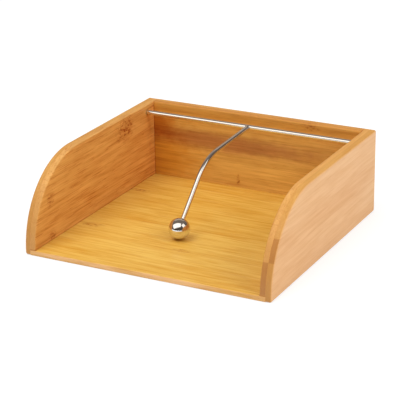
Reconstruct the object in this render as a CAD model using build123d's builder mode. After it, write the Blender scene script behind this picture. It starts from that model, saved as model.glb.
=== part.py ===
"""Flat napkin holder: an open bamboo tray with a hinged steel arm and ball that hold the napkins down.

Millimetres. X runs across the tray, Y from the open front to the back board, Z up. The origin is the
middle of the tray's underside. Every board except the floor is two glued plies, and the inner plies
stop on the floor board, so that the floor is let in under them.
"""

from build123d import *
from math import cos, radians, sin, tan
import os

# The space for the napkins
inside_width = 173.0        # between the side boards: a folded napkin of 165 mm and room for fingers
inside_depth = 173.0        # from the open front to the back board
height = 63.5               # underside to the top edge

# The boards
ply = 4.25                  # one ply; the sides and the back are two plies thick
base_thickness = 4.0
front_land = 2.0            # upright stretch of a side's front end, below its quarter round
edge_round = 1.5            # sanded edges outside the tray
rim_round = 1.0             # sanded edges inside the tray
floor_round = 0.8           # sanded front and back edges of the floor board

# The rod that the arm hangs from
rod_diameter = 3.5
rod_clearance = 0.1         # all round, between the rod and its holes
rod_drop = 5.75             # top edge of the tray down to the rod's axis
rod_setback = 10.0          # back board's inner face to the rod's axis
rod_web = 2.5               # wood left between a rod hole and the outside of the tray
rod_end_play = 0.5          # free length at each end of the rod
rod_chamfer = 0.4

# The bent arm and its ball
arm_diameter = 3.5
arm_fall = 4.7              # degrees that the arm's long run falls towards the front
arm_skew = 3.1              # degrees that the arm stands out of square with the rod, to the left
bend_reach = 63.0           # rod's axis to the corner of the bend, level
bend_radius = 39.0          # along the middle of the wire
ball_diameter = 15.5
ball_reach = 101.0          # rod's axis to the ball's middle, level
ball_gap = 0.3              # under the ball, when it lies in the empty tray
ball_seat = 5.0             # depth of the hole that holds the arm's end

# The hidden dowels in the back corners
dowel_diameter = 4.0
dowel_clearance = 0.05      # glue line all round a dowel
dowel_web = 2.5             # wood left between a dowel hole and the outside of the tray
dowel_grip = 14.0           # length of a dowel in the back board
dowel_end_gap = 0.5         # glue space beyond each end of a dowel
dowel_inset = 14.0          # first dowel above the floor board, and last one below the top edge

# Places worked out from the sizes above
board = 2 * ply
seam_x = inside_width / 2 + ply
outside_x = inside_width / 2 + board
depth = inside_depth + board
front_y = -depth / 2
back_y = depth / 2
well_back_y = back_y - board
back_seam_y = back_y - ply
nose_radius = height - front_land
outer_round = min(edge_round, 0.8 * front_land, 0.4 * ply)

rod_radius = rod_diameter / 2
rod_hole_radius = rod_radius + rod_clearance
rod_hole_end_x = outside_x - rod_web
rod_half_length = rod_hole_end_x - rod_end_play
rod_y = well_back_y - rod_setback
rod_z = height - rod_drop

ball_radius = ball_diameter / 2
ball_z = base_thickness + ball_gap + ball_radius
bend_drop = bend_reach * tan(radians(arm_fall))
ball_drop = rod_z - ball_z

dowel_radius = dowel_diameter / 2
dowel_hole_radius = dowel_radius + dowel_clearance
dowel_hole_out_x = outside_x - dowel_web
dowel_hole_in_x = inside_width / 2 - dowel_grip
dowel_heights = (base_thickness + dowel_inset, height - dowel_inset)

os.makedirs("parts", exist_ok=True)


def side_face(x, rear_y):
    """Side board's outline at x, up to rear_y at the back: its front end is a quarter round."""
    with BuildSketch(Plane.YZ.offset(x)) as outline:
        with BuildLine():
            underside = Line((rear_y, 0), (front_y, 0))
            land = Line(underside @ 1, (front_y, front_land))
            nose = JernArc(land @ 1, (0, 1), nose_radius, -90)
            top = Line(nose @ 1, (rear_y, height))
            Line(top @ 1, underside @ 0)
        make_face()
    return outline.sketch


def rod_holes():
    """Both blind holes for the rod's ends, as one cut straight across the tray."""
    with BuildSketch(Plane.YZ.offset(-rod_hole_end_x)) as hole:
        with Locations((rod_y, rod_z)):
            Circle(rod_hole_radius)
    extrude(hole.sketch, amount=2 * rod_hole_end_x, mode=Mode.SUBTRACT)


def dowel_holes(side):
    """The dowel holes of one back corner: side is -1 on the left and 1 on the right."""
    with BuildSketch(Plane.YZ.offset(side * dowel_hole_in_x)) as holes:
        with Locations([(back_seam_y, z) for z in dowel_heights]):
            Circle(dowel_hole_radius)
    extrude(holes.sketch, amount=side * (dowel_hole_out_x - dowel_hole_in_x), mode=Mode.SUBTRACT)


def square_corners(edges):
    """The three square corners of a side board, out of all its edges that run along X."""
    front = edges.group_by(Axis.Y)[0].sort_by(Axis.Z)[0]
    rear = edges.group_by(Axis.Y)[-1]
    return rear + [front]


def outer_ply(side):
    """Outer ply of a side board: it reaches the ground and has the sanded outside edges."""
    with BuildPart() as plate:
        extrude(side_face(side * seam_x, back_y), amount=side * ply)
        corners = square_corners(plate.edges().filter_by(Axis.X))
        outside_edges = plate.edges().group_by(Axis.X)[-1 if side > 0 else 0]
        fillet(corners + outside_edges, radius=outer_round)
        rod_holes()
        dowel_holes(side)
    return plate


def inner_ply(side):
    """Inner ply of a side board: it stands on the floor board, and its rim is sanded inside."""
    with BuildPart() as plate:
        extrude(side_face(side * inside_width / 2, well_back_y), amount=side * ply)
        split(bisect_by=Plane.XY.offset(base_thickness))
        inside_edges = plate.edges().group_by(Axis.X)[0 if side > 0 else -1]
        rim = inside_edges.sort_by(Axis.Z)[1:].filter_by(Axis.Z, reverse=True)
        fillet(rim, radius=rim_round)
        # Behind the well the ply runs on beside the back board, where its edge isn't sanded
        with BuildSketch(Plane.YZ.offset(side * inside_width / 2)):
            with Locations((well_back_y, base_thickness)):
                Rectangle(board, height - base_thickness, align=(Align.MIN, Align.MIN))
        extrude(amount=side * ply)
        top_rear = plate.edges().filter_by(Axis.X).group_by(Axis.Z)[-1].sort_by(Axis.Y)[-1]
        fillet(top_rear, radius=outer_round)
        rod_holes()
        dowel_holes(side)
    return plate


def back_ply(inner_y, outer_y):
    """One ply of the back board, which stands on the floor board between the side boards."""
    with BuildPart() as plate:
        with BuildSketch(Plane.XY.offset(base_thickness)):
            with Locations((0, (inner_y + outer_y) / 2)):
                Rectangle(inside_width, outer_y - inner_y)
        extrude(amount=height - base_thickness)
        top_edges = plate.edges().filter_by(Axis.X).group_by(Axis.Z)[-1].sort_by(Axis.Y)
        if outer_y == back_y:
            fillet(top_edges[-1], radius=outer_round)
        else:
            fillet(top_edges[0], radius=rim_round)
        dowel_holes(-1)
        dowel_holes(1)
    return plate


left_side_outer_ply = outer_ply(-1)
left_side_outer_ply.part.label = "left_side_outer_ply"

left_side_inner_ply = inner_ply(-1)
left_side_inner_ply.part.label = "left_side_inner_ply"

right_side_outer_ply = outer_ply(1)
right_side_outer_ply.part.label = "right_side_outer_ply"

right_side_inner_ply = inner_ply(1)
right_side_inner_ply.part.label = "right_side_inner_ply"

back_inner_ply = back_ply(well_back_y, back_seam_y)
back_inner_ply.part.label = "back_inner_ply"

back_outer_ply = back_ply(back_seam_y, back_y)
back_outer_ply.part.label = "back_outer_ply"

with BuildPart() as base_board:
    with BuildSketch(Plane.XY):
        Rectangle(2 * seam_x, depth)
    extrude(amount=base_thickness)
    long_edges = base_board.edges().filter_by(Axis.X)
    fillet(long_edges.group_by(Axis.Y)[0], radius=floor_round)
    fillet(base_board.edges().filter_by(Axis.X).sort_by(Axis.Y)[-1], radius=floor_round)
base_board.part.label = "base_board"

with BuildPart() as corner_dowels:
    dowel_length = dowel_hole_out_x - dowel_hole_in_x - 2 * dowel_end_gap
    for side in (-1, 1):
        with BuildSketch(Plane.YZ.offset(side * (dowel_hole_in_x + dowel_end_gap))):
            with Locations([(back_seam_y, z) for z in dowel_heights]):
                Circle(dowel_radius)
        extrude(amount=side * dowel_length)
corner_dowels.part.label = "corner_dowels"

with BuildPart() as pivot_rod:
    with BuildSketch(Plane.YZ.offset(-rod_half_length)):
        with Locations((rod_y, rod_z)):
            Circle(rod_radius)
    extrude(amount=2 * rod_half_length)
    chamfer(pivot_rod.edges().filter_by(GeomType.CIRCLE), length=rod_chamfer)
pivot_rod.part.label = "pivot_rod"

# The arm lies in one upright plane through the rod's middle: x runs out to the front, y up
arm_out = Vector(-sin(radians(arm_skew)), -cos(radians(arm_skew)), 0)
arm_plane = Plane(origin=(0, rod_y, rod_z), x_dir=arm_out, z_dir=arm_out.cross(Vector(0, 0, 1)))
bend_point = arm_plane.from_local_coords((bend_reach, -bend_drop))
ball_centre = arm_plane.from_local_coords((ball_reach, -ball_drop))
last_run = (ball_centre - bend_point).normalized()
arm_end = ball_centre - last_run * (ball_radius - ball_seat)

with BuildPart() as weight_arm:
    with BuildLine() as wire:
        FilletPolyline(arm_plane.origin, bend_point, arm_end, radius=bend_radius)
    with BuildSketch(Plane(origin=wire.line @ 0, z_dir=wire.line % 0)):
        Circle(arm_diameter / 2)
    sweep(path=wire.line)
    with BuildSketch(Plane.YZ.offset(-arm_diameter)):
        with Locations((rod_y, rod_z)):
            Circle(rod_radius)
    extrude(amount=2 * arm_diameter, mode=Mode.SUBTRACT)
    # The saddle cut leaves a chip behind the rod: only the wire in front of it is the arm
    split(bisect_by=Plane.XZ.offset(-rod_y), keep=Keep.TOP)
weight_arm.part.label = "weight_arm"

with BuildPart(Plane(origin=ball_centre, z_dir=-last_run)) as ball_weight:
    Sphere(ball_radius)
    with Locations((0, 0, ball_radius)):
        Hole(arm_diameter / 2, depth=ball_seat)
ball_weight.part.label = "ball_weight"

pieces = (
    base_board,
    left_side_outer_ply,
    left_side_inner_ply,
    right_side_outer_ply,
    right_side_inner_ply,
    back_inner_ply,
    back_outer_ply,
    corner_dowels,
    pivot_rod,
    weight_arm,
    ball_weight,
)
for piece in pieces:
    export_step(piece.part, f"parts/{piece.part.label}.step")
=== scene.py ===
"""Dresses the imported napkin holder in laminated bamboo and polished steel, and sets it in a pale studio.

Metres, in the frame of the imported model: X runs across the tray, Y from the open front to the back board,
Z up. Every visible piece is a numpy surface of rings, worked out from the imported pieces' own boxes.
"""

from math import asin, cos, pi, radians, sin, tan

import bpy
import numpy as np
from bpy.props import FloatProperty, FloatVectorProperty, PointerProperty
from bpy.types import Operator, Panel, PropertyGroup
from mathutils import Matrix, Vector


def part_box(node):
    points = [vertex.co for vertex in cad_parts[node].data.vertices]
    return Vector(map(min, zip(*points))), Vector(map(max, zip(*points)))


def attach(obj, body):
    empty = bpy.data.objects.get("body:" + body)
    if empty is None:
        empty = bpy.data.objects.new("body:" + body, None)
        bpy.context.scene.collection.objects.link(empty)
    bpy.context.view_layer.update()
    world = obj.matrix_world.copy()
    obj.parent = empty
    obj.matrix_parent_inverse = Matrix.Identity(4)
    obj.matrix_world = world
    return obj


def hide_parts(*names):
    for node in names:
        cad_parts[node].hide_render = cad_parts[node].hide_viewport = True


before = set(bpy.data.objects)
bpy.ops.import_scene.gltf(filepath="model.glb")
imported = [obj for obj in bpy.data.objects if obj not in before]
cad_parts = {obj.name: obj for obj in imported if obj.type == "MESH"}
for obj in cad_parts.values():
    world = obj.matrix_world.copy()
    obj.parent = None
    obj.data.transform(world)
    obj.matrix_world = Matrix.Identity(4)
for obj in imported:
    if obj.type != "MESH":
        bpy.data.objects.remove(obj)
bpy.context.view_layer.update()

bl_info = {
    "name": "Bamboo Napkin Holder",
    "version": (1, 0, 0),
    "blender": (4, 5, 0),
    "location": "View3D > Sidebar > Napkin Holder",
    "description": "Bamboo tray with a hinged steel arm and ball, around its packed frame",
    "category": "Object",
}

MM = 0.001

# A corner's radius is this much more than the rounding across it, so that the rings of points stay apart
SEAM_CORNER = 1.3
OUTER_CORNER = 1.08


# ---------------------------------------------------------------- settings

def length(name, description, default):
    return FloatProperty(name=name, description=description, default=default, unit="LENGTH")


def swatch(name, description, default):
    """A colour as the eye sees it."""
    return FloatVectorProperty(name=name, description=description, default=default,
                               subtype="COLOR_GAMMA", min=0, max=1)


def brightness(name, description, default):
    """The power of a lamp, or how bright something is."""
    return FloatProperty(name=name, description=description, default=default, min=0)


class BoardSettings(PropertyGroup):
    """How the bamboo boards are cut and sanded."""

    front_land: length("Front Land", "Upright stretch of a side's front end, below its quarter round",
                       2 * MM)
    outer_round: length("Outer Round", "Radius of the sanded edges outside the tray", 1.5 * MM)
    rim_round: length("Rim Round", "Radius of the sanded edges inside the tray", 1.0 * MM)
    floor_round: length("Floor Round", "Radius of the sanded front and back edges of the floor board",
                        0.8 * MM)
    seam_round: length("Seam Round", "Radius of the edges along a glue line", 0.14 * MM)
    rod_clearance: length("Rod Clearance", "Gap all round between the rod and its holes", 0.1 * MM)
    rod_web: length("Rod Web", "Wood left between a rod hole and the outside of the tray", 2.5 * MM)


class BambooSettings(PropertyGroup):
    """Colours of the bamboo, as the eye sees them on each board."""

    floor_pale: swatch("Floor Pale", "Lighter colour of the floor board", (0.91, 0.735, 0.35))
    floor_deep: swatch("Floor Deep", "Darker colour of the floor board", (0.825, 0.59, 0.175))
    side_pale: swatch("Side Pale", "Lighter colour of the side boards' inner plies", (0.94, 0.70, 0.375))
    side_deep: swatch("Side Deep", "Darker colour of the side boards' inner plies", (0.79, 0.505, 0.205))
    back_pale: swatch("Back Pale", "Lighter colour of the back board's inner ply", (0.93, 0.735, 0.375))
    back_deep: swatch("Back Deep", "Darker colour of the back board's inner ply", (0.785, 0.57, 0.25))
    outside_pale: swatch("Outside Pale", "Lighter colour of the outer plies, and of the floor's narrow edges",
                         (0.96, 0.752, 0.51))
    outside_deep: swatch("Outside Deep", "Darker colour of the outer plies", (0.89, 0.64, 0.385))
    edge_pale: swatch("Edge Pale", "Lighter colour of the outer plies' and the back board's narrow edges",
                      (0.865, 0.64, 0.335))
    edge_deep: swatch("Edge Deep", "Darker colour of the outer plies' and the back board's narrow edges",
                      (0.77, 0.52, 0.22))
    inner_edge_pale: swatch("Inner Edge Pale", "Lighter colour of the sides' inner plies, on narrow edges",
                            (0.91, 0.68, 0.38))
    inner_edge_deep: swatch("Inner Edge Deep", "Darker colour of the sides' inner plies, on narrow edges",
                            (0.81, 0.565, 0.27))
    end_colour: swatch("End Grain", "Colour of the cut fibre ends", (0.66, 0.40, 0.17))
    # Also the colour of the painted corner shade along the glued joints between boards
    vessel_and_corner_shade_tint: swatch("Vessel Tint", "Tint of the dark vessels between the fibres, and of the glue",
                        (0.82, 0.58, 0.36))
    node_tint: swatch("Node Tint", "Tint of the specks where a bamboo node was planed flat",
                      (0.74, 0.49, 0.24))
    coat: FloatProperty(
        name="Lacquer", description="Weight of the clear lacquer over the wood",
        default=0.2, min=0, max=1)


class SteelSettings(PropertyGroup):
    """The steel rod, its bent arm and the ball."""

    rod_chamfer: length("Rod Chamfer", "Chamfer at both ends of the rod", 0.4 * MM)
    arm_fall: FloatProperty(
        name="Arm Fall", description="Angle that the arm's long run falls towards the front",
        default=radians(4.7), subtype="ANGLE")
    bend_reach: length("Bend Reach", "Rod's axis to the corner of the bend, level", 63 * MM)
    bend_radius: length("Bend Radius", "Radius of the bend along the middle of the wire", 39 * MM)
    weld_flare: length("Weld Flare", "How much thicker the arm is where it is welded to the rod", 0.35 * MM)
    ball_seat: length("Ball Seat", "Depth of the hole in the ball that holds the arm's end", 5 * MM)
    colour: swatch("Steel Colour", "Colour of the polished steel", (0.785, 0.73, 0.69))
    rim_colour: swatch("Rim Colour", "Tint of the steel where it is seen at a flat angle",
                       (0.74, 0.66, 0.58))


class StudioSettings(PropertyGroup):
    """Camera, lamps, floor, sky, and the room that the steel reflects."""

    lens: FloatProperty(
        name="Lens", description="Focal length on a 36 mm wide square picture, in millimetres",
        default=141.24)
    distance: length("Camera Distance", "Camera to the point that it looks at", 1.13403)
    azimuth: FloatProperty(
        name="Camera Azimuth", description="How far the camera stands round to the right of the front",
        default=radians(27.808), subtype="ANGLE")
    elevation: FloatProperty(
        name="Camera Elevation", description="How far the camera looks down",
        default=radians(21.179), subtype="ANGLE")
    roll: FloatProperty(
        name="Camera Roll", description="Turn of the camera about its own view",
        default=radians(-0.9395), subtype="ANGLE")
    aim: FloatVectorProperty(
        name="Camera Aim", description="Point that the camera looks at",
        default=(-6.775 * MM, 5.830 * MM, 21.466 * MM), subtype="TRANSLATION", unit="LENGTH")
    key_power: brightness("Key Lamp", "Power of the softbox above the front, in watts", 7.5)
    side_power: brightness("Side Lamp", "Power of the softbox on the right, in watts", 4.5)
    window_level: brightness("Window Level", "Brightness of the windows that the steel reflects", 1.5)
    rear_level: brightness("Rear Level", "Brightness of the dim panel behind, which the arm reflects", 0.5)
    room_level: brightness("Room Level", "Brightness of the dark room that the steel reflects", 0.08)
    sky_level: brightness("Sky Level", "Even light from overhead", 0.85)
    horizon_level: brightness("Horizon Level", "Even light from the sides", 0.27)
    floor_glow: FloatProperty(
        name="Floor Glow", description="How much of the floor's white doesn't depend on its shadow",
        default=0.66, min=0, max=1)


class NapkinHolderSettings(PropertyGroup):
    """Everything that a user would change."""

    boards: PointerProperty(type=BoardSettings)
    bamboo: PointerProperty(type=BambooSettings)
    steel: PointerProperty(type=SteelSettings)
    studio: PointerProperty(type=StudioSettings)


# ---------------------------------------------------------------- surfaces

def ring_mesh(name, rings, poles=None):
    """Mesh through rings of points, an array (ring, point, 3).

    Quads join each point to its neighbour on the ring and to the same point of the next ring. With two
    poles, the first and last rings are closed by triangles to them; without, the last ring joins the first.
    """
    rings = np.asarray(rings, float)
    count, around = rings.shape[:2]
    vertices = rings.reshape(-1, 3)
    steps = count if poles is None else count - 1
    ring, point = (grid.ravel() for grid in np.mgrid[0:steps, 0:around])
    ahead, beyond = (point + 1) % around, (ring + 1) % count
    quads = np.stack([ring * around + point, ring * around + ahead,
                      beyond * around + ahead, beyond * around + point], 1)
    corners = quads[:, [0, 1, 2, 0, 2, 3]].reshape(-1, 3)
    faces = quads.tolist()
    if poles is not None:
        vertices = np.vstack([vertices, poles])
        here = np.arange(around)
        there = (here + 1) % around
        last = (count - 1) * around
        caps = np.vstack([np.stack([np.full(around, count * around), there, here], 1),
                          np.stack([np.full(around, count * around + 1), last + here, last + there], 1)])
        corners = np.vstack([corners, caps])
        faces += caps.tolist()
    a, b, c = vertices[corners].transpose(1, 0, 2)
    areas = np.cross(b - a, c - a)
    if np.einsum("ij,ij->", a, areas) < 0:
        faces, areas = [face[::-1] for face in faces], -areas
    # A point looks the way of the areas around it, so a flat face stays flat up to its rounded edge
    normals = np.zeros_like(vertices)
    np.add.at(normals, corners, areas[:, None])
    normals /= np.linalg.norm(normals, axis=1)[:, None]
    mesh = bpy.data.meshes.new(name)
    mesh.from_pydata(vertices.tolist(), [], faces)
    if mesh.validate():
        raise RuntimeError(f"{name}: the rings cross or repeat a point")
    mesh.shade_smooth()
    mesh.normals_split_custom_set_from_vertices(normals.tolist())
    return mesh


def add_piece(name, mesh, body, slot, material, *nodes):
    """Shows the mesh as a piece that rides on a body and stands for CAD nodes."""
    mesh.materials.append(material)
    piece = bpy.data.objects.new(name, mesh)
    bpy.context.scene.collection.objects.link(piece)
    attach(piece, body)
    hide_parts(*nodes)


def section_line(arcs, hub, arc_step=radians(7.5), hub_step=radians(6)):
    """Closed outline in Y and Z, and its outward directions, from arcs in anticlockwise order.

    Each arc is (centre y, centre z, radius, first angle, last angle). A point on an arc is its centre plus
    the radius times the direction of its angle. Between two arcs the outline is straight, and its points
    lie where rays from the hub, turned in even steps, meet it.
    """
    hub = np.array(hub)
    points, outward = [], []
    for arc, following in zip(arcs, arcs[1:] + arcs[:1]):
        y, z, radius, first, last = arc
        # The large quarter round of a side board needs shorter steps
        finer = 4 if radius > 20 * MM else 1
        count = max(4, round((last - first) / arc_step) * finer)
        angle = np.linspace(first, last, count + 1)
        direction = np.stack([np.cos(angle), np.sin(angle)], 1)
        points.append([y, z] + radius * direction)
        outward.append(direction)
        start = points[-1][-1] - hub
        end = np.array(following[:2]) - hub
        end = end + following[2] * np.array([cos(following[3]), sin(following[3])])
        bearing = np.unwrap(np.arctan2([start[1], end[1]], [start[0], end[0]]))
        count = int(abs(bearing[1] - bearing[0]) / hub_step) + 1
        angle = np.linspace(*bearing, count + 1)[1:-1]
        ray = np.stack([np.cos(angle), np.sin(angle)], 1)
        run = end - start
        reach = (start[0] * run[1] - start[1] * run[0]) / (ray[:, 0] * run[1] - ray[:, 1] * run[0])
        points.append(hub + ray * reach[:, None])
        outward.append(np.repeat(direction[-1:], len(angle), 0))
    return np.vstack(points), np.vstack(outward)


def plate_rings(points, outward, low, high, low_round, high_round, hub, hub_radius, steps=6):
    """Rings of a plate that lies between x = low and x = high, with rounded edges.

    Across the rounding, a ring is the outline drawn in by radius times one minus the sine of its angle,
    and lies radius times one minus the cosine away from the face. Inside that, rings shrink to a circle
    about the hub. A ring close to the rounding, on either side of it, keeps the flat parts flat.
    """
    support = 0.35 * MM
    angle = np.linspace(0, pi / 2, steps + 1)
    spoke = points - hub
    circle = hub + hub_radius * spoke / np.linalg.norm(spoke, axis=1)[:, None]

    def ring(flat, x):
        return np.column_stack([np.broadcast_to(x, len(flat)), flat])

    def face(x, inward, radius):
        edge = points - outward * radius[:, None]
        border = edge - support * spoke / np.linalg.norm(spoke, axis=1)[:, None]
        shares_of_way_out = (0, 0.01, 0.1, 0.3, 0.6)
        flats = [circle + (border - circle) * share for share in shares_of_way_out] + [border, edge]
        rings = [ring(flat, x) for flat in flats]
        for turn in angle[1:]:
            flat = points - outward * (radius * (1 - sin(turn)))[:, None]
            rings.append(ring(flat, x + inward * radius * (1 - cos(turn))))
        rings.append(ring(points, x + inward * (radius + support)))
        return rings

    return face(low, 1, low_round) + face(high, -1, high_round)[::-1]


def bar_mesh(name, low, high, radii, end_round):
    """A board that runs along X and fills the box from low to high.

    The radii are those of its lower back, upper back, upper front and lower front edges, and the end round
    is that of the edges all round its two ends.
    """
    hub_radius = 0.5 * MM
    lower_back, upper_back, upper_front, lower_front = radii
    arcs = [(high.y - lower_back, low.z + lower_back, lower_back, -pi / 2, 0),
            (high.y - upper_back, high.z - upper_back, upper_back, 0, pi / 2),
            (low.y + upper_front, high.z - upper_front, upper_front, pi / 2, pi),
            (low.y + lower_front, low.z + lower_front, lower_front, pi, 1.5 * pi)]
    hub = np.array([(low.y + high.y) / 2, (low.z + high.z) / 2])
    points, outward = section_line(arcs, hub)
    edge = np.full(len(points), end_round)
    rings = plate_rings(points, outward, low.x, high.x, edge, edge, hub, hub_radius)
    return ring_mesh(name, rings, [(low.x, *hub), (high.x, *hub)])


def ramp_array(value, low, high):
    """Place of each value between low and high, from 0 to 1, smoothed at both ends."""
    share = np.clip((value - low) / (high - low), 0, 1)
    return share * share * (3 - 2 * share)


def bore_rings(hub, radius, start, end, around, depth_steps=3):
    """Rings down the wall of a round bore, from x = start to x = end, facing the given ring's points."""
    spoke = around[:, 1:] - hub
    circle = hub + radius * spoke / np.linalg.norm(spoke, axis=1)[:, None]
    return [np.column_stack([np.full(len(circle), x), circle]) for x in np.linspace(start, end, depth_steps)]


def turned_rings(path, across, up, radii, around=64):
    """Rings about a path: each is its path point plus the radius times the cosine of an angle across and
    its sine up."""
    angle = np.linspace(0, 2 * pi, around, endpoint=False)
    across, up = np.broadcast_to(across, path.shape), np.broadcast_to(up, path.shape)
    circle = np.cos(angle)[None, :, None] * across[:, None] + np.sin(angle)[None, :, None] * up[:, None]
    return path[:, None] + np.asarray(radii)[:, None, None] * circle


# ---------------------------------------------------------------- shader nodes

def linear(colour):
    """Linear colour with alpha, from the colour as the eye sees it."""
    c = np.array(colour)
    return (*np.where(c <= 0.04045, c / 12.92, ((c + 0.055) / 1.055) ** 2.4), 1)


def node(tree, kind, inputs=None, **settings):
    """Adds a node. Its inputs are set to a value, or linked where the value is another node's output."""
    added = tree.nodes.new(kind)
    for key, value in settings.items():
        setattr(added, key, value)
    for key, value in (inputs or {}).items():
        if isinstance(value, bpy.types.NodeSocket):
            tree.links.new(value, added.inputs[key])
        else:
            added.inputs[key].default_value = value
    return added


def maths(tree, operation, *values, clamp=False):
    return node(tree, "ShaderNodeMath", dict(enumerate(values)),
                operation=operation, use_clamp=clamp).outputs[0]


def vector_maths(tree, operation, *values, output=0):
    """Output 0 is a vector, and output 1 the single value of a length or a dot product."""
    return node(tree, "ShaderNodeVectorMath", dict(enumerate(values)), operation=operation).outputs[output]


def ramp(tree, value, low, high, to_low=0.0, to_high=1.0):
    """The value's place between low and high, smoothed at both ends."""
    added = node(tree, "ShaderNodeMapRange", {0: value, 1: low, 2: high, 3: to_low, 4: to_high},
                 interpolation_type="SMOOTHSTEP")
    return added.outputs[0]


def mix_colour(tree, share, a, b, blend="MIX"):
    """Blends colour b over colour a. Inputs 6 and 7 and output 2 are the Mix node's colours."""
    added = node(tree, "ShaderNodeMix", {0: share, 6: a, 7: b}, data_type="RGBA", blend_type=blend)
    return added.outputs[2]


def noise(tree, place, stretch, seed, detail=2.0, roughness=0.5):
    """Noise whose grains are as long as the stretch says along each axis, in the units of the place."""
    scaled = vector_maths(tree, "DIVIDE", place, stretch)
    return node(tree, "ShaderNodeTexNoise",
                {"Vector": scaled, "W": seed, "Scale": 1.0, "Detail": detail, "Roughness": roughness},
                noise_dimensions="4D").outputs[0]


def new_group(name, inputs, outputs):
    """Shader node group with named sockets. Each input is (name, socket kind, default)."""
    tree = bpy.data.node_groups.new(name, "ShaderNodeTree")
    for key, kind, default in inputs:
        socket = tree.interface.new_socket(key, in_out="INPUT", socket_type=f"NodeSocket{kind}")
        if default is not None:
            socket.default_value = default
    for key, kind in outputs:
        tree.interface.new_socket(key, in_out="OUTPUT", socket_type=f"NodeSocket{kind}")
    return tree, tree.nodes.new("NodeGroupInput"), tree.nodes.new("NodeGroupOutput")


def place_group(tree, group, inputs):
    """Puts a shader node group into a material with its own values."""
    return node(tree, "ShaderNodeGroup", inputs, node_tree=group)


def empty_tree(owner):
    """The empty node tree of a new material or world."""
    owner.use_nodes = True
    owner.node_tree.nodes.clear()
    return owner.node_tree


def show_surface(tree, shader, output="ShaderNodeOutputMaterial"):
    tree.links.new(shader.outputs[0], tree.nodes.new(output).inputs[0])


def millimetre_place(tree, coordinates):
    """The place on the object, in millimetres."""
    return node(tree, "ShaderNodeVectorMath", {0: coordinates.outputs["Object"], "Scale": 1 / MM},
                operation="SCALE").outputs[0]


def seen_directly(tree):
    """1 for what the camera sees straight, in a reflection or through glass, and 0 for other rays."""
    seen = tree.nodes.new("ShaderNodeLightPath").outputs
    return maths(tree, "MAXIMUM", maths(tree, "MAXIMUM", seen["Is Camera Ray"], seen["Is Glossy Ray"]),
                 seen["Is Transmission Ray"])


def centred(tree, value, amount):
    """The value's distance from a half, times the amount."""
    return maths(tree, "MULTIPLY", maths(tree, "SUBTRACT", value, 0.5), amount)


def bamboo_grain_group():
    """Bamboo fibres in millimetres: X of the place runs along them, Y across the strips, Z through the board.

    Depth is 0 where the wood is palest and 1 where it is deepest. It adds up the strip's own tone, long
    streaks, fine fibres and slow clouds, each about its middle.
    """
    if "bamboo_grain" in bpy.data.node_groups:
        return bpy.data.node_groups["bamboo_grain"]
    tree, given, result = new_group(
        "bamboo_grain",
        [("Place", "Vector", None), ("Seed", "Float", 0.0), ("Contrast", "Float", 1.0),
         ("Strip Width", "Float", 20.0), ("Strip Start", "Float", 0.0)],
        [("Depth", "Float"), ("Lines", "Float"), ("Joints", "Float"), ("Height", "Float")])
    place, seed = given.outputs["Place"], given.outputs["Seed"]
    across = node(tree, "ShaderNodeSeparateXYZ", {0: place}).outputs[1]
    strip = maths(tree, "DIVIDE", maths(tree, "SUBTRACT", across, given.outputs["Strip Start"]),
                  given.outputs["Strip Width"])
    number = maths(tree, "FLOOR", strip)
    # Each strip is a different cane, so it has its own tone, and its fibres start somewhere else
    seed_step, cane_step = 7.31, 61.7
    tone = node(tree, "ShaderNodeTexWhiteNoise",
                {"W": maths(tree, "MULTIPLY_ADD", seed, seed_step, number)}, noise_dimensions="1D").outputs[0]
    shift = node(tree, "ShaderNodeCombineXYZ", {0: maths(tree, "MULTIPLY", number, cane_step)}).outputs[0]
    cane = vector_maths(tree, "ADD", place, shift)
    fibres = ramp(tree, noise(tree, cane, (26, 0.6, 0.6), seed, detail=3, roughness=0.6), 0.38, 0.68)
    streaks = ramp(tree, noise(tree, cane, (42, 2.3, 2.3), seed, detail=3, roughness=0.6), 0.32, 0.68)
    clouds = ramp(tree, noise(tree, cane, (34, 8, 8), seed, detail=2), 0.3, 0.7)
    long = ramp(tree, noise(tree, cane, (24, 0.75, 0.75), seed, detail=2), 0.57, 0.68)
    short = ramp(tree, noise(tree, cane, (6.5, 0.8, 0.8), seed, detail=1), 0.60, 0.72)
    edge = maths(tree, "ABSOLUTE", maths(tree, "SUBTRACT", maths(tree, "FRACT", strip), 0.5))
    gap = maths(tree, "MULTIPLY", maths(tree, "SUBTRACT", 0.5, edge), given.outputs["Strip Width"])
    joints = ramp(tree, gap, 0.08, 0.5, 1.0, 0.0)
    swing = centred(tree, tone, 0.35)
    for pattern, amount in ((clouds, 0.45), (streaks, 0.75), (fibres, 0.45)):
        swing = maths(tree, "ADD", swing, centred(tree, pattern, amount))
    depth = maths(tree, "MULTIPLY_ADD", swing, given.outputs["Contrast"], 0.5, clamp=True)
    lines = maths(tree, "MAXIMUM", long, maths(tree, "MULTIPLY", short, streaks))
    height = maths(tree, "SUBTRACT", maths(tree, "MULTIPLY", fibres, -0.5),
                   maths(tree, "ADD", maths(tree, "MULTIPLY", lines, 0.3), joints))
    for key, value in (("Depth", depth), ("Lines", lines), ("Joints", joints), ("Height", height)):
        tree.links.new(value, result.inputs[key])
    return tree


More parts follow.
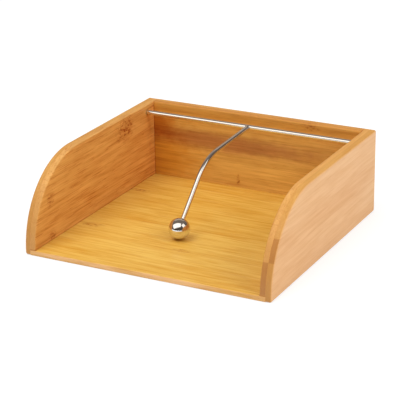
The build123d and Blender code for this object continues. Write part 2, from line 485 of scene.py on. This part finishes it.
def node_mark_group():
    """The speckled patch that is left where a bamboo node was planed flat: short, ragged, broken fibres.

    Patch is the soft area alone, and Mark is the specks and the haze inside it.
    """
    if "bamboo_node_mark" in bpy.data.node_groups:
        return bpy.data.node_groups["bamboo_node_mark"]
    tree, given, result = new_group(
        "bamboo_node_mark",
        [("Place", "Vector", None), ("Centre", "Vector", None), ("Half Size", "Vector", None),
         ("Ragged", "Float", 1.2)],
        [("Patch", "Float"), ("Mark", "Float")])
    place = given.outputs["Place"]
    wander = noise(tree, place, (6, 4, 4), seed=3.0, detail=2)
    local = vector_maths(tree, "DIVIDE", vector_maths(tree, "SUBTRACT", place, given.outputs["Centre"]),
                         given.outputs["Half Size"])
    reach = maths(tree, "ADD", vector_maths(tree, "LENGTH", local, output=1),
                  centred(tree, wander, given.outputs["Ragged"]))
    patch = ramp(tree, reach, 0.25, 1.1, 1.0, 0.0)
    speckle = ramp(tree, noise(tree, place, (3.4, 1.5, 1.5), seed=5.0, detail=2, roughness=0.6), 0.50, 0.62)
    haze = 0.25
    mark = maths(tree, "MULTIPLY", patch, maths(tree, "MULTIPLY_ADD", speckle, 1 - haze, haze))
    tree.links.new(patch, result.inputs["Patch"])
    tree.links.new(mark, result.inputs["Mark"])
    return tree


def bamboo_material(name, pale, deep, grain_axis, across_axis, seed, strip_width, strip_start,
                    marks=(), stains=(), glue_and_corner_shade=(), edges=None, contrast=1.0, line_shade=0.3,
                    joint_shade=0.2, end_strip=None, end_amount=0.22):
    """Lacquered laminated bamboo.

    The axes are 0, 1 or 2 for X, Y or Z: where the fibres run, and where the strips lie side by side.
    Marks are (along, across, half length, half width, strength) in millimetres. Stains are the same with a
    tint for the strength, which multiplies the colour, so a tint over 1 lightens it. The
    glue_and_corner_shade list holds (axis, position) of joints with another board: along each, a thin dark
    line of painted corner shade lies over the glued seam. Edges are the pale and the deep colour of the
    board's narrow sides. The end amount is how far a cut end goes towards the end grain's colour, and the end
    strip is the low and high edge, across the strips, of one whose cut end is darker still.
    """
    look = bpy.context.scene.napkin_holder.bamboo
    material = bpy.data.materials.new(name)
    tree = empty_tree(material)
    coordinates = tree.nodes.new("ShaderNodeTexCoord")
    millimetres = millimetre_place(tree, coordinates)
    xyz = node(tree, "ShaderNodeSeparateXYZ", {0: millimetres}).outputs
    across = xyz[across_axis]
    through_axis = 3 - grain_axis - across_axis
    place = node(tree, "ShaderNodeCombineXYZ",
                 {0: xyz[grain_axis], 1: across, 2: xyz[through_axis]}).outputs[0]
    grain = place_group(tree, bamboo_grain_group(),
                        {"Place": place, "Seed": seed, "Contrast": contrast, "Strip Width": strip_width,
                         "Strip Start": strip_start}).outputs

    normal = node(tree, "ShaderNodeSeparateXYZ", {0: coordinates.outputs["Normal"]}).outputs
    facing = maths(tree, "ABSOLUTE", normal[grain_axis])
    end = ramp(tree, facing, 0.55, 0.97)
    # On a cut end the fibres are dots too fine to see, so its tone is more even
    evenness = 0.6
    calm = maths(tree, "MULTIPLY_ADD", end, -evenness, 1.0)
    depth = maths(tree, "MULTIPLY_ADD", maths(tree, "SUBTRACT", grain["Depth"], 0.5), calm, 0.5)
    colour = mix_colour(tree, depth, linear(pale), linear(deep))
    if edges:
        # The narrow sides of a board show other fibres than its broad faces
        broad = ramp(tree, maths(tree, "ABSOLUTE", normal[through_axis]), 0.5, 0.95)
        narrow = mix_colour(tree, depth, linear(edges[0]), linear(edges[1]))
        colour = mix_colour(tree, broad, narrow, colour)
    # Dark vessels between the fibres, and the glued strip joints
    shade = maths(tree, "ADD", maths(tree, "MULTIPLY", grain["Lines"], line_shade),
                  maths(tree, "MULTIPLY", grain["Joints"], joint_shade), clamp=True)
    shade = maths(tree, "MULTIPLY", shade, calm)
    colour = mix_colour(tree, shade, colour, linear(look.vessel_and_corner_shade_tint), "MULTIPLY")

    def patch(along, middle, half_length, half_width, ragged):
        """Outputs of a patch that goes right through the board."""
        return place_group(tree, node_mark_group(),
                           {"Place": place, "Centre": (along, middle, 0), "Ragged": ragged,
                            "Half Size": (half_length, half_width, 1000)}).outputs

    for *area, tint in stains:
        colour = mix_colour(tree, patch(*area, ragged=0.5)["Patch"], colour, linear(tint), "MULTIPLY")
    for *area, strength in marks:
        mark = maths(tree, "MULTIPLY", patch(*area, ragged=1.2)["Mark"], strength)
        colour = mix_colour(tree, mark, colour, linear(look.node_tint), "MULTIPLY")
    # A thin dark line of painted corner shade along each glued joint with another board: darkest within 0.3
    # mm of it, gone 1 mm away
    for axis, position in glue_and_corner_shade:
        away = maths(tree, "ABSOLUTE", maths(tree, "SUBTRACT", xyz[axis], position))
        line = ramp(tree, away, 0.3, 1.0, 0.5, 0.0)
        colour = mix_colour(tree, line, colour, linear(look.vessel_and_corner_shade_tint), "MULTIPLY")

    # Cut fibre ends drink more lacquer and look darker
    amount = maths(tree, "MULTIPLY", end, end_amount)
    if end_strip:
        low, high = end_strip
        blur, extra_amount = 0.3, 0.45
        inside = maths(tree, "MULTIPLY", ramp(tree, across, low - blur, low + blur),
                       ramp(tree, across, high - blur, high + blur, 1.0, 0.0))
        band = maths(tree, "MULTIPLY", inside, ramp(tree, facing, 0.45, 0.75))
        amount = maths(tree, "ADD", amount, maths(tree, "MULTIPLY", band, extra_amount), clamp=True)
    colour = mix_colour(tree, amount, colour, linear(look.end_colour))

    roughness = maths(tree, "MULTIPLY_ADD", grain["Depth"], 0.12, 0.42)
    bump = node(tree, "ShaderNodeBump", {"Strength": 0.25, "Distance": 0.08 * MM, "Height": grain["Height"]})
    shader = node(tree, "ShaderNodeBsdfPrincipled",
                  {"Base Color": colour, "Roughness": roughness, "Normal": bump.outputs[0],
                   "Coat Weight": look.coat, "Coat Roughness": 0.22, "IOR": 1.45,
                   "Specular IOR Level": 0.35})
    show_surface(tree, shader)
    return material


def steel_material():
    """Polished steel with faint wipe marks."""
    if "polished_steel" in bpy.data.materials:
        return bpy.data.materials["polished_steel"]
    look = bpy.context.scene.napkin_holder.steel
    material = bpy.data.materials.new("polished_steel")
    tree = empty_tree(material)
    millimetres = millimetre_place(tree, tree.nodes.new("ShaderNodeTexCoord"))
    haze = noise(tree, millimetres, (9, 6, 6), seed=2.0, detail=4)
    hair = noise(tree, millimetres, (14, 0.16, 0.16), seed=4.0, detail=2)
    least, more = 0.12, 0.05
    roughness = maths(tree, "MULTIPLY_ADD", ramp(tree, haze, 0.4, 0.7), more, least)
    roughness = maths(tree, "MULTIPLY_ADD", ramp(tree, hair, 0.5, 0.8), more, roughness)
    bump = node(tree, "ShaderNodeBump", {"Strength": 0.12, "Distance": 0.01 * MM, "Height": hair})
    shader = node(tree, "ShaderNodeBsdfPrincipled",
                  {"Base Color": linear(look.colour), "Metallic": 1.0, "Roughness": roughness,
                   "Specular Tint": linear(look.rim_colour), "Normal": bump.outputs[0]})
    show_surface(tree, shader)
    return material


# ---------------------------------------------------------------- sizes from the frame

def rod_axis():
    """Y and Z of the rod's axis, and its radius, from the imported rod."""
    low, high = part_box("pivot_rod")
    return (low.y + high.y) / 2, (low.z + high.z) / 2, (high.z - low.z) / 2


def side_arcs(inner):
    """Arcs of a side board's outline: three square corners, and the quarter round of its front end."""
    boards = bpy.context.scene.napkin_holder.boards
    low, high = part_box("left_side_outer_ply")
    front, back, top = low.y, high.y, high.z
    floor_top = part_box("base_board")[1].z
    nose = top - boards.front_land
    nose_y, nose_z = front + nose, boards.front_land
    corner = boards.outer_round * OUTER_CORNER
    glued = boards.seam_round * SEAM_CORNER
    rear_top = (back - corner, top - corner, corner, 0, pi / 2)
    if not inner:
        return [(back - corner, corner, corner, -pi / 2, 0), rear_top,
                (nose_y, nose_z, nose, pi / 2, pi),
                (front + corner, corner, corner, pi, 1.5 * pi)]
    # The inner ply stops on the floor board, part of the way down the quarter round
    last = pi - asin((floor_top + glued - nose_z) / (nose - glued))
    toe_y = nose_y + (nose - glued) * cos(last)
    return [(back - glued, floor_top + glued, glued, -pi / 2, 0), rear_top,
            (nose_y, nose_z, nose, pi / 2, last),
            (toe_y, floor_top + glued, glued, last, 1.5 * pi)]


# ---------------------------------------------------------------- the operators

class NAPKIN_OT_floor_board(Operator):
    """Make the floor board, with its sanded front and back edges"""

    bl_idname = "napkin_holder.floor_board"
    bl_label = "Floor Board"

    def execute(self, context):
        settings = context.scene.napkin_holder
        boards, bamboo = settings.boards, settings.bamboo
        sanded, glued = boards.floor_round, boards.seam_round * SEAM_CORNER
        mesh = bar_mesh("floor_board", *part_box("base_board"), (sanded, glued, sanded, sanded),
                        boards.seam_round)
        material = bamboo_material(
            "bamboo_floor", bamboo.floor_pale, bamboo.floor_deep, 0, 1, seed=2.0,
            strip_width=19.0, strip_start=-86.0,
            contrast=0.8, line_shade=0.3, edges=(bamboo.outside_pale, bamboo.floor_deep),
            stains=[(55, 55, 45, 35, (1.03, 1.04, 1.10))],
            # The last mark is a darker speckled patch on the floor just in front of where the ball rests
            marks=[(-79, 44.5, 9, 4, 0.8), (-75.5, -31, 10, 5, 0.8), (5.5, -47, 9, 4, 0.7)])
        add_piece("floor_board", mesh, "tray", "bamboo", material, "base_board")
        return {"FINISHED"}


class NAPKIN_OT_side_boards(Operator):
    """Make the two plies of each side board, with their quarter-round front ends and rod holes"""

    bl_idname = "napkin_holder.side_boards"
    bl_label = "Side Boards"

    def execute(self, context):
        settings = context.scene.napkin_holder
        boards, bamboo = settings.boards, settings.bamboo
        rod_y, rod_z, rod_radius = rod_axis()
        hub = np.array([rod_y, rod_z])
        bore = rod_radius + boards.rod_clearance
        well_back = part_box("back_inner_ply")[0].y
        # Where the side's inner face meets the floor board: a line of painted corner shade along that glued
        # joint
        floor_line = [(2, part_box("base_board")[1].z / MM)]
        looks = {
            "left_side_outer_ply": dict(
                pale=bamboo.outside_pale, deep=bamboo.outside_deep, seed=11.0, strip_width=18.5,
                strip_start=7.0, contrast=0.6, line_shade=0.12, joint_shade=0.05),
            "left_side_inner_ply": dict(
                pale=bamboo.side_pale, deep=bamboo.side_deep, seed=12.0, strip_width=19.5, strip_start=4.0,
                contrast=0.6, line_shade=0.6, glue_and_corner_shade=floor_line,
                marks=[(39, 54, 15, 11, 1.0), (-68, 35, 6, 7, 0.9), (-68, 7.5, 6, 5, 0.8)]),
            "right_side_outer_ply": dict(
                pale=bamboo.outside_pale, deep=bamboo.outside_deep, seed=13.0, strip_width=14.0,
                strip_start=12.0, contrast=0.5, line_shade=0.08, joint_shade=0.04, end_strip=(26, 40)),
            "right_side_inner_ply": dict(
                pale=bamboo.side_pale, deep=bamboo.side_deep, seed=14.0, strip_width=21.0, strip_start=5.0,
                contrast=0.6, line_shade=0.4, glue_and_corner_shade=floor_line, marks=[(12, 30, 12, 9, 0.7)],
                end_strip=(5, 26)),
        }
        for name, look in looks.items():
            low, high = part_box(name)
            inner = "inner" in name
            edges = (bamboo.edge_pale, bamboo.edge_deep)
            if inner:
                edges = (bamboo.inner_edge_pale, bamboo.inner_edge_deep)
            points, outward = section_line(side_arcs(inner), hub)
            seam = np.full(len(points), boards.seam_round)
            if inner:
                # Sanded along the rim of the well only: not on the floor board, nor beside the back board
                unsanded, fully_sanded = 0.2 * MM, 2.5 * MM
                upper = ramp_array(points[:, 1] - low.z, unsanded, fully_sanded)
                ahead = 1 - ramp_array(points[:, 0], well_back, well_back + boards.rim_round)
                shown = boards.seam_round + (boards.rim_round - boards.seam_round) * upper * ahead
            else:
                shown = np.full(len(points), boards.outer_round)
            shown_low = (low.x < 0) != inner
            rounds = (shown, seam) if shown_low else (seam, shown)
            rings = plate_rings(points, outward, low.x, high.x, *rounds, hub, bore)
            material = bamboo_material("bamboo_" + name, grain_axis=1, across_axis=2, edges=edges, **look)
            if inner:
                # The rod's hole goes right through: its wall joins the last ring to the first
                mesh = ring_mesh(name, rings)
            else:
                # The blind hole for the rod's end, in the glued face
                if shown_low:
                    bottom = low.x + boards.rod_web
                    wall = bore_rings(hub, bore, high.x, bottom, rings[-1])[1:]
                    rings, poles = rings + wall, [(low.x, *hub), (bottom, *hub)]
                else:
                    bottom = high.x - boards.rod_web
                    wall = bore_rings(hub, bore, bottom, low.x, rings[0])[:-1]
                    rings, poles = wall + rings, [(bottom, *hub), (high.x, *hub)]
                mesh = ring_mesh(name, rings, poles)
            add_piece(name.replace("_ply", "_board"), mesh, "tray", "bamboo", material, name)
        return {"FINISHED"}


class NAPKIN_OT_back_boards(Operator):
    """Make the two plies of the back board"""

    bl_idname = "napkin_holder.back_boards"
    bl_label = "Back Boards"

    def execute(self, context):
        settings = context.scene.napkin_holder
        boards, bamboo = settings.boards, settings.bamboo
        glued = boards.seam_round * SEAM_CORNER
        # Radii of the upper back and the upper front edge
        upper_edges = {"back_inner_ply": (glued, boards.rim_round),
                       "back_outer_ply": (boards.outer_round, glued)}
        # Where the back board's ends meet the side boards: lines of painted corner shade along those glued
        # joints
        side_lines = [(0, corner.x / MM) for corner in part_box("back_inner_ply")]
        looks = {
            "back_inner_ply": dict(
                pale=bamboo.back_pale, deep=bamboo.back_deep, seed=21.0, strip_width=19.0, strip_start=6.0,
                contrast=0.62, line_shade=0.3, glue_and_corner_shade=side_lines,
                stains=[(-86, 20, 50, 40, (0.96, 0.86, 0.62)), (-30, 38, 110, 10, (0.86, 0.76, 0.82)),
                        (-82, 45, 20, 13, (0.88, 0.73, 0.52)), (0, 60, 300, 15, (0.97, 0.90, 0.80)),
                        (20, 14, 55, 15, (1.04, 1.05, 1.05))],
                marks=[(46, 61, 9, 3.6, 0.8), (-13.5, 10, 1.8, 5, 1.0)]),
            "back_outer_ply": dict(
                pale=bamboo.outside_pale, deep=bamboo.outside_deep, seed=22.0, strip_width=17.0,
                strip_start=9.0, contrast=0.7, line_shade=0.15,
                marks=[(-30, 38, 12, 8, 0.6), (58, 20, 10, 7, 0.5)]),
        }
        for name, look in looks.items():
            mesh = bar_mesh(name, *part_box(name), (glued, *upper_edges[name], glued), boards.seam_round)
            material = bamboo_material("bamboo_" + name, grain_axis=0, across_axis=2,
                                       edges=(bamboo.edge_pale, bamboo.edge_deep), **look)
            add_piece(name.replace("_ply", "_board"), mesh, "tray", "bamboo", material, name)
        return {"FINISHED"}


class NAPKIN_OT_corner_dowels(Operator):
    """Give the hidden dowels of the back corners their wood"""

    bl_idname = "napkin_holder.corner_dowels"
    bl_label = "Corner Dowels"

    def execute(self, context):
        bamboo = context.scene.napkin_holder.bamboo
        material = bamboo_material("dowel_wood", bamboo.floor_pale, bamboo.outside_deep, 0, 1, seed=31.0,
                                   strip_width=50.0, strip_start=-25.0)
        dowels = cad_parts["corner_dowels"]
        dowels.data.materials.clear()
        dowels.data.materials.append(material)
        return {"FINISHED"}


class NAPKIN_OT_pivot_rod(Operator):
    """Make the straight rod that the arm hangs from, with a chamfer at each end"""

    bl_idname = "napkin_holder.pivot_rod"
    bl_label = "Pivot Rod"

    def execute(self, context):
        steel = context.scene.napkin_holder.steel
        low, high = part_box("pivot_rod")
        y, z, radius = rod_axis()
        chamfer = steel.rod_chamfer
        stations = 60
        # A ring one chamfer beyond each chamfer keeps the straight part straight
        x = np.concatenate([[low.x, low.x + chamfer, low.x + 2 * chamfer],
                            np.linspace(low.x, high.x, stations)[2:-2],
                            [high.x - 2 * chamfer, high.x - chamfer, high.x]])
        radii = np.full(len(x), radius)
        radii[[0, -1]] = radius - chamfer
        path = np.column_stack([x, np.full(len(x), y), np.full(len(x), z)])
        rings = turned_rings(path, (0, 1, 0), (0, 0, 1), radii)
        mesh = ring_mesh("pivot_rod", rings, [path[0], path[-1]])
        add_piece("steel_rod", mesh, "arm", "polished_steel", steel_material(), "pivot_rod")
        return {"FINISHED"}


def arm_path():
    """The arm's middle line as whole arrays: points, directions, and the level direction across it.

    The line leaves the rod, falls at a small angle, turns on one arc and points at the ball's middle. It
    lies in the upright plane through the rod's middle and the ball's middle.
    """
    steel = bpy.context.scene.napkin_holder.steel
    rod_y, rod_z, _ = rod_axis()
    start = np.array([0, rod_y, rod_z])
    low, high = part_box("ball_weight")
    ball = (np.array(low) + np.array(high)) / 2
    ball_radius = (high.z - low.z) / 2
    out = (ball - start) * (1, 1, 0)
    out /= np.linalg.norm(out)
    up = np.array([0, 0, 1.0])
    first = out * cos(steel.arm_fall) - up * sin(steel.arm_fall)
    corner = start + out * steel.bend_reach - up * steel.bend_reach * tan(steel.arm_fall)
    last = (ball - corner) / np.linalg.norm(ball - corner)
    turn = np.arccos(first @ last)
    setback = steel.bend_radius * tan(turn / 2)
    arc_start = corner - first * setback
    inward = last - first * (first @ last)
    inward /= np.linalg.norm(inward)
    centre = arc_start + inward * steel.bend_radius
    run_steps, bend_steps = 23, 24
    angle = np.linspace(0, turn, bend_steps + 1)[:, None]
    arc = centre + steel.bend_radius * (first * np.sin(angle) - inward * np.cos(angle))
    arc_ways = first * np.cos(angle) + inward * np.sin(angle)
    arc_end = corner + last * setback
    end = ball - last * (ball_radius - steel.ball_seat)
    run = np.linspace(0, 1, run_steps + 1)[:, None]
    points = np.vstack([start + (arc_start - start) * run[:-1], arc, arc_end + (end - arc_end) * run[1:]])
    ways = np.vstack([np.repeat(first[None], run_steps, 0), arc_ways, np.repeat(last[None], run_steps, 0)])
    return points, ways, np.cross(out, up), ball, ball_radius, last


class NAPKIN_OT_weight_arm(Operator):
    """Make the bent arm: its weld on the rod, its long run, its bend and its falling run"""

    bl_idname = "napkin_holder.weight_arm"
    bl_label = "Weight Arm"

    def execute(self, context):
        steel = context.scene.napkin_holder.steel
        radius = rod_axis()[2]
        points, ways, across, *_ = arm_path()
        up = np.cross(across, ways)
        # The weld: rings so many rod radii from the rod's axis, each with its share of the flare, in place of
        # the path's first two points. The first ring is inside the rod, and narrower.
        reach = np.array([0.55, 0.95, 1.15, 1.4, 1.8]) * radius
        flare = np.array([0.2, 1.0, 0.75, 0.3, 0.0]) * steel.weld_flare
        sunk_share = 0.6
        path = np.vstack([points[0] + ways[0] * reach[:, None], points[2:]])
        ups = np.vstack([np.repeat(up[:1], len(reach), 0), up[2:]])
        radii = np.concatenate([radius + flare, np.full(len(points) - 2, radius)])
        radii[0] = radius * sunk_share
        rings = turned_rings(path, across, ups, radii, around=48)
        mesh = ring_mesh("weight_arm", rings, [path[0], path[-1]])
        add_piece("steel_arm", mesh, "arm", "polished_steel", steel_material(), "weight_arm")
        return {"FINISHED"}


class NAPKIN_OT_ball_weight(Operator):
    """Make the ball, with the drilled seat that holds the arm's end"""

    bl_idname = "napkin_holder.ball_weight"
    bl_label = "Ball Weight"

    def execute(self, context):
        steel = context.scene.napkin_holder.steel
        bore = rod_axis()[2]
        _, _, across, ball, radius, last = arm_path()
        up = np.cross(across, last)
        # Polar angle from the far pole up to the mouth of the seat, which is eased a little, then down the
        # seat's wall
        eased, steps = 0.15 * MM, 72
        mouth = pi - asin((bore + eased) / radius)
        polar = np.linspace(0, mouth, steps + 1)[1:]
        seat_depths = np.array([eased, steel.ball_seat / 2, steel.ball_seat])
        heights = np.concatenate([-radius * np.cos(polar), -radius * np.cos(mouth) - seat_depths])
        radii = np.concatenate([radius * np.sin(polar), [bore, bore, bore]])
        path = ball - last * heights[:, None]
        rings = turned_rings(path, across, up, radii, around=96)
        mesh = ring_mesh("ball_weight", rings, [ball + last * radius, path[-1]])
        add_piece("steel_ball", mesh, "arm", "polished_steel", steel_material(), "ball_weight")
        return {"FINISHED"}


class NAPKIN_OT_studio(Operator):
    """Make the pale floor, the soft lamps, the room that the steel reflects, and the camera"""

    bl_idname = "napkin_holder.studio"
    bl_label = "Studio"

    def execute(self, context):
        studio = context.scene.napkin_holder.studio
        add_camera(context.scene, studio)
        add_floor(studio)
        add_world(context.scene, studio)
        add_lamp("key_softbox", studio.key_power, size=(0.9, 0.7), place=Vector((-0.35, -0.55, 1.2)))
        add_lamp("side_softbox", studio.side_power, size=(0.4, 0.5), place=Vector((0.95, -0.15, 0.85)))
        add_room(studio)
        return {"FINISHED"}


def direction(azimuth, elevation):
    """Unit vector from the object towards a place that far round to the right of the front, and that high."""
    return Vector((sin(azimuth) * cos(elevation), -cos(azimuth) * cos(elevation), sin(elevation)))


def add_camera(scene, studio):
    """Camera whose view has the azimuth, elevation and roll of the settings."""
    back = direction(studio.azimuth, studio.elevation)
    right = (-back).cross(Vector((0, 0, 1))).normalized()
    up = right.cross(-back)
    right, up = (right * cos(studio.roll) + up * sin(studio.roll),
                 up * cos(studio.roll) - right * sin(studio.roll))
    data = bpy.data.cameras.new("camera")
    data.lens = studio.lens
    data.sensor_width = 36
    camera = bpy.data.objects.new("camera", data)
    camera.matrix_world = Matrix.Translation(Vector(studio.aim) + back * studio.distance) @ Matrix(
        (right, up, back)).transposed().to_4x4()
    scene.collection.objects.link(camera)
    scene.camera = camera


def add_lamp(name, power, size, place):
    """Rectangular softbox at the place, looking at the tray. Reflections show the windows in its stead."""
    target = Vector((0, 0, 0.02))
    data = bpy.data.lights.new(name, "AREA")
    data.shape = "RECTANGLE"
    data.size, data.size_y = size
    data.energy = power
    lamp = bpy.data.objects.new(name, data)
    turn = (target - place).to_track_quat("-Z", "Y")
    lamp.matrix_world = Matrix.Translation(place) @ turn.to_matrix().to_4x4()
    lamp.visible_glossy = False
    bpy.context.scene.collection.objects.link(lamp)


def window_mask(tree, place, towards, along, half_size, softness):
    """How much a place on the room's wall belongs to a window, from 0 to 1.

    The window is a rectangle on the plane one unit away, square to its direction. The place is carried to
    that plane along its ray. Its distance from the inner rectangle, which is smaller by the softness, is
    the length of what its two coordinates exceed that by.
    """
    ahead_way = Vector(towards).normalized()
    side_way = (Vector(along) - ahead_way * ahead_way.dot(Vector(along))).normalized()
    high_way = ahead_way.cross(side_way)
    ahead = vector_maths(tree, "DOT_PRODUCT", place, ahead_way, output=1)
    squares = []
    for way, half in zip((side_way, high_way), half_size):
        reach = maths(tree, "DIVIDE", vector_maths(tree, "DOT_PRODUCT", place, way, output=1), ahead)
        beyond = maths(tree, "SUBTRACT", maths(tree, "ABSOLUTE", reach), half - softness)
        squares.append(maths(tree, "POWER", maths(tree, "MAXIMUM", beyond, 0.0), 2.0))
    distance = maths(tree, "SQRT", maths(tree, "ADD", *squares))
    return maths(tree, "MULTIPLY", ramp(tree, distance, 0.0, softness, 1.0, 0.0),
                 maths(tree, "GREATER_THAN", ahead, 0.05))


def add_room(studio, radius=2.6):
    """The dark room with bright windows that the steel and the lacquer reflect, and that lights nothing else.

    It is a dome about the tray: each ring's height is the radius times the sine of its elevation, and the
    lower pole lies under the floor. What its wall shows depends on the direction from the tray alone.
    """
    steps = 24
    under_floor = 1.0
    elevation = np.linspace(0, 0.5 * pi, steps + 1)[:-1]
    path = np.column_stack([np.zeros((steps, 2)), radius * np.sin(elevation)])
    rings = turned_rings(path, (1, 0, 0), (0, 1, 0), radius * np.cos(elevation))
    mesh = ring_mesh("room", rings, [(0, 0, -under_floor), (0, 0, radius)])
    material = bpy.data.materials.new("room")
    tree = empty_tree(material)
    place = tree.nodes.new("ShaderNodeTexCoord").outputs["Object"]
    # The room is brighter overhead, and more so to the left and behind
    x, y, z = node(tree, "ShaderNodeSeparateXYZ", {0: place}).outputs
    height = maths(tree, "MULTIPLY_ADD", x, -0.8, maths(tree, "MULTIPLY_ADD", y, 0.5, z))
    low_down = np.array((1, 0.78, 0.62, 1)) * studio.room_level
    overhead = low_down * 2.3
    colour = mix_colour(tree, ramp(tree, height, -0.2 * radius, 0.9 * radius), low_down, overhead)
    window = np.array((1, 0.92, 0.80, 1)) * studio.window_level
    panel = np.array((1, 0.78, 0.58, 1)) * studio.rear_level
    side_window = window * 0.85
    windows = [
        # direction, direction of its width, half width and half height, softness, colour
        ((-0.35, 0.65, 0.62), (0.88, 0.47, 0), (0.65, 0.38), 0.25, panel),
        ((-0.142, -0.619, 0.796), (0.84, 0.11, 0.53), (0.92, 0.54), 0.20, window),
        ((0.78, 0.02, 0.62), (-0.20, 0.98, 0), (0.36, 0.38), 0.12, side_window),
    ]
    for *shape, shown in windows:
        colour = mix_colour(tree, window_mask(tree, place, *shape), colour, shown)
    glow = node(tree, "ShaderNodeEmission", {"Color": colour})
    show_surface(tree, glow)
    mesh.materials.append(material)
    dome = bpy.data.objects.new("room", mesh)
    for ray in ("camera", "diffuse", "shadow", "transmission", "volume_scatter"):
        setattr(dome, f"visible_{ray}", False)
    bpy.context.scene.collection.objects.link(dome)


def add_floor(studio):
    """Wide white floor. What the camera sees of it is partly glow, so that it is white around the shadow."""
    half, sunk = 6.0, 0.2 * MM
    mesh = bpy.data.meshes.new("studio_floor")
    corners = [(-half, -half, 0), (half, -half, 0), (half, half, 0), (-half, half, 0)]
    mesh.from_pydata(corners, [], [(0, 1, 2, 3)])
    material = bpy.data.materials.new("studio_floor")
    tree = empty_tree(material)
    shown = seen_directly(tree)
    plain = node(tree, "ShaderNodeBsdfDiffuse", {"Color": (0.8, 0.8, 0.8, 1)})
    dim = node(tree, "ShaderNodeBsdfDiffuse", {"Color": (0.42, 0.42, 0.42, 1)})
    glow = node(tree, "ShaderNodeEmission", {"Strength": studio.floor_glow})
    lit = node(tree, "ShaderNodeAddShader", {0: dim.outputs[0], 1: glow.outputs[0]})
    both = node(tree, "ShaderNodeMixShader", {0: shown, 1: plain.outputs[0], 2: lit.outputs[0]})
    show_surface(tree, both)
    mesh.materials.append(material)
    floor = bpy.data.objects.new("studio_floor", mesh)
    floor.location.z = -sunk
    bpy.context.scene.collection.objects.link(floor)


def add_world(scene, studio):
    """Plain white for the camera and in reflections, and otherwise a sky that is brighter overhead."""
    world = bpy.data.worlds.new("studio_world")
    tree = empty_tree(world)
    shown = seen_directly(tree)
    height = node(tree, "ShaderNodeSeparateXYZ",
                  {0: tree.nodes.new("ShaderNodeTexCoord").outputs["Object"]}).outputs[2]
    sky = ramp(tree, height, 0.0, 1.0, studio.horizon_level, studio.sky_level)
    level = node(tree, "ShaderNodeMapRange", {0: shown, 3: sky, 4: 1.0}).outputs[0]
    background = node(tree, "ShaderNodeBackground", {"Color": (1, 1, 1, 1), "Strength": level})
    show_surface(tree, background, "ShaderNodeOutputWorld")
    scene.world = world
    scene.view_settings.view_transform = "Standard"


class NAPKIN_PT_panel(Panel):
    """Lists the pieces and the settings"""

    bl_idname = "NAPKIN_PT_panel"
    bl_label = "Napkin Holder"
    bl_space_type = "VIEW_3D"
    bl_region_type = "UI"
    bl_category = "Napkin Holder"

    def draw(self, context):
        settings = context.scene.napkin_holder
        for operator in OPERATORS:
            self.layout.operator(operator.bl_idname)
        for group in (settings.boards, settings.bamboo, settings.steel, settings.studio):
            box = self.layout.box()
            for key in group.__annotations__:
                box.prop(group, key)


SETTINGS = (BoardSettings, BambooSettings, SteelSettings, StudioSettings, NapkinHolderSettings)
OPERATORS = (
    NAPKIN_OT_floor_board,
    NAPKIN_OT_side_boards,
    NAPKIN_OT_back_boards,
    NAPKIN_OT_corner_dowels,
    NAPKIN_OT_pivot_rod,
    NAPKIN_OT_weight_arm,
    NAPKIN_OT_ball_weight,
    NAPKIN_OT_studio,
)


def register():
    for cls in (*SETTINGS, *OPERATORS, NAPKIN_PT_panel):
        bpy.utils.register_class(cls)
    bpy.types.Scene.napkin_holder = PointerProperty(type=NapkinHolderSettings)


def unregister():
    del bpy.types.Scene.napkin_holder
    for cls in reversed((*SETTINGS, *OPERATORS, NAPKIN_PT_panel)):
        bpy.utils.unregister_class(cls)


def main():
    register()
    bpy.ops.napkin_holder.floor_board()
    bpy.ops.napkin_holder.side_boards()
    bpy.ops.napkin_holder.back_boards()
    bpy.ops.napkin_holder.corner_dowels()
    bpy.ops.napkin_holder.pivot_rod()
    bpy.ops.napkin_holder.weight_arm()
    bpy.ops.napkin_holder.ball_weight()
    bpy.ops.napkin_holder.studio()


if __name__ == "__main__":
    main()
